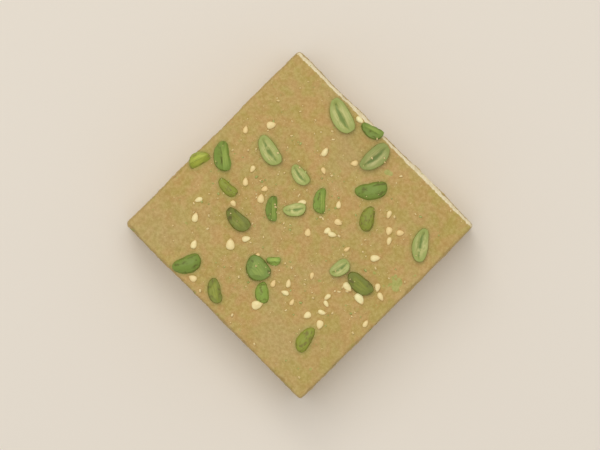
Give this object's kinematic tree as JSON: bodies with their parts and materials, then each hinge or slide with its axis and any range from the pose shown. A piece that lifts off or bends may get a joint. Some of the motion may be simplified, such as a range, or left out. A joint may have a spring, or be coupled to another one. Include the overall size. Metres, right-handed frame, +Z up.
{
  "type": "pistachio halva block",
  "caption": "Square block of pistachio halva with a flat base, knife-cut sides and a flat top sprinkled with halved and chopped pistachios and sesame seeds.",
  "frame": {"origin": "centre of the flat base, on the surface that the block rests on", "axes": "+Z up through the topped face, +X and +Y along the knife cuts"},
  "size_m": [0.054, 0.0536, 0.0209],
  "materials": {
    "halva": "matt, fine-grained tan sesame paste",
    "pistachio_green": "satin, bright to dark green nut",
    "pistachio_olive": "satin, olive green nut with some skin",
    "pistachio_pale": "satin, pale green cut face of a nut",
    "sesame": "satin, cream hulled seed"
  },
  "bodies": {
    "root": {"halva_block": "halva", "pistachio_half_1": "pistachio_pale", "pistachio_wedge_1": "pistachio_green", "pistachio_half_2": "pistachio_pale", "pistachio_round_1": "pistachio_green", "pistachio_round_2": "pistachio_olive", "pistachio_half_3": "pistachio_pale", "pistachio_half_4": "pistachio_pale", "pistachio_half_5": "pistachio_pale", "pistachio_wedge_2": "pistachio_green", "pistachio_wedge_3": "pistachio_green", "pistachio_wedge_4": "pistachio_olive", "pistachio_wedge_5": "pistachio_green", "pistachio_half_6": "pistachio_pale", "pistachio_round_3": "pistachio_olive", "pistachio_slab_1": "pistachio_olive", "pistachio_slab_2": "pistachio_green", "pistachio_wedge_6": "pistachio_green", "pistachio_round_4": "pistachio_green", "pistachio_half_7": "pistachio_pale", "pistachio_slab_3": "pistachio_olive", "pistachio_round_5": "pistachio_olive", "pistachio_round_6": "pistachio_green", "pistachio_slab_4": "pistachio_olive"}
  },
  "joints": []
}
